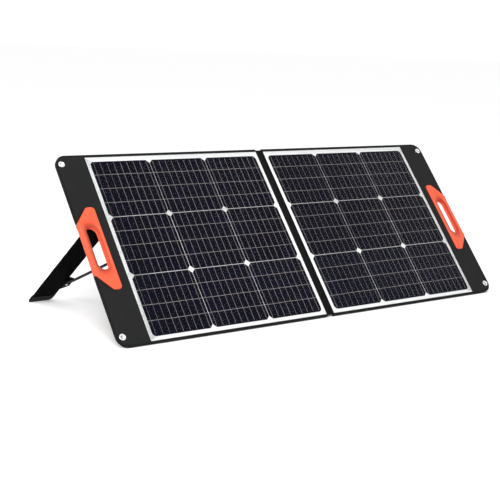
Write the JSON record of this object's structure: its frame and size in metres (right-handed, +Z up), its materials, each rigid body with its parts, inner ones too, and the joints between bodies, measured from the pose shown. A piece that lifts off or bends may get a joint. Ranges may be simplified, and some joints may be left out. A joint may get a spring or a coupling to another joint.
{
  "type": "folding solar panel",
  "caption": "Two-half folding camping solar panel on a fabric spine, with moulded hand grips, corner eyelets, two strapped rear legs and an output box.",
  "frame": {"origin": "middle of the open, standing panel's footprint, on the ground", "axes": "+X along the panel's width, +Y from the bottom edge back to the feet, +Z up"},
  "size_m": [1.218, 0.4852, 0.3917],
  "materials": {
    "grey_fabric": "coated polyester, fine weave, matt",
    "core_board": "stiff sheet board",
    "black_binding": "ribbed binding tape",
    "white_backsheet": "white laminate sheet",
    "silicon_cells": "dark blue-black silicon with silver fingers",
    "tinned_ribbon": "tinned copper ribbon",
    "clear_film": "clear dimpled film",
    "orange_plastic": "moulded orange plastic, fine texture",
    "plain_steel": "plain steel",
    "eyelet_metal": "nickel plated",
    "black_webbing": "woven webbing",
    "black_leg_fabric": "black coated fabric over board",
    "black_rubber": "moulded rubber",
    "black_spine_fabric": "heavier black fabric",
    "lead_jacket": "flat lead jacket",
    "black_plastic": "textured moulded plastic",
    "green_board": "circuit board",
    "socket_plastic": "socket housing",
    "lamp_lens": "translucent green lens"
  },
  "bodies": {
    "left_half": {"left_front_cover": "grey_fabric", "left_core_board": "core_board", "left_back_cover": "grey_fabric", "left_edge_binding": "black_binding", "left_backsheet": "white_backsheet", "left_solar_cells": "silicon_cells", "left_cell_ribbons": "tinned_ribbon", "left_front_film": "clear_film", "left_handle_front": "orange_plastic", "left_handle_back": "orange_plastic", "left_handle_screws": "plain_steel", "left_handle_magnets": "plain_steel", "left_eyelets": "eyelet_metal", "left_eyelet_washers": "eyelet_metal", "left_leg_hinge_flap": "black_webbing", "left_strap_anchor": "black_webbing", "left_stay_strap": "black_webbing"},
    "spine": {"spine_front_cover": "black_spine_fabric", "spine_filler": "core_board", "spine_back_cover": "black_spine_fabric", "crossover_leads": "lead_jacket"},
    "right_half": {"right_front_cover": "grey_fabric", "right_core_board": "core_board", "right_back_cover": "grey_fabric", "right_edge_binding": "black_binding", "right_backsheet": "white_backsheet", "right_solar_cells": "silicon_cells", "right_cell_ribbons": "tinned_ribbon", "right_front_film": "clear_film", "right_handle_front": "orange_plastic", "right_handle_back": "orange_plastic", "right_handle_screws": "plain_steel", "right_handle_magnets": "plain_steel", "right_eyelets": "eyelet_metal", "right_eyelet_washers": "eyelet_metal", "right_leg_hinge_flap": "black_webbing", "right_strap_anchor": "black_webbing", "right_stay_strap": "black_webbing", "output_box_base": "black_plastic", "output_box_lid": "black_plastic", "output_box_screws": "plain_steel", "circuit_board": "green_board", "usb_a_port": "plain_steel", "usb_c_port": "plain_steel", "dc_sockets": "socket_plastic", "indicator_lens": "lamp_lens", "port_cover_pin": "plain_steel"},
    "left_leg": {"left_leg_sleeve": "black_leg_fabric", "left_leg_stiffener": "core_board", "left_leg_foot": "black_rubber", "left_leg_strap_tab": "black_webbing", "left_leg_strap_rivet": "plain_steel"},
    "right_leg": {"right_leg_sleeve": "black_leg_fabric", "right_leg_stiffener": "core_board", "right_leg_foot": "black_rubber", "right_leg_strap_tab": "black_webbing", "right_leg_strap_rivet": "plain_steel"},
    "port_cover": {"port_cover": "black_rubber"}
  },
  "joints": [
    {"name": "left_half_fold", "type": "hinge", "parent": "spine", "child": "left_half", "pos_m": [-0.0082, -0.07033, 0.19683], "axis": [0, 0.6613, 0.7501], "range_deg": [0, 90]},
    {"name": "right_half_fold", "type": "hinge", "parent": "spine", "child": "right_half", "pos_m": [0.0082, -0.07033, 0.19683], "axis": [0, -0.6613, -0.7501], "range_deg": [0, 90]},
    {"name": "left_leg_swing", "type": "hinge", "parent": "left_half", "child": "left_leg", "pos_m": [-0.503, 0.00409, 0.26386], "axis": [1, 0, 0], "range_deg": [-83.46, 0], "deforming": ["left_stay_strap"]},
    {"name": "right_leg_swing", "type": "hinge", "parent": "right_half", "child": "right_leg", "pos_m": [0.503, 0.00409, 0.26386], "axis": [1, 0, 0], "range_deg": [-83.46, 0], "deforming": ["right_stay_strap"]},
    {"name": "port_cover_hinge", "type": "hinge", "parent": "right_half", "child": "port_cover", "pos_m": [0.29, -0.08558, 0.14748], "axis": [1, 0, 0], "range_deg": [0, 150]}
  ],
  "couplings": [
    {"joint": "left_half_fold", "follows": "right_half_fold", "ratio": 1}
  ]
}
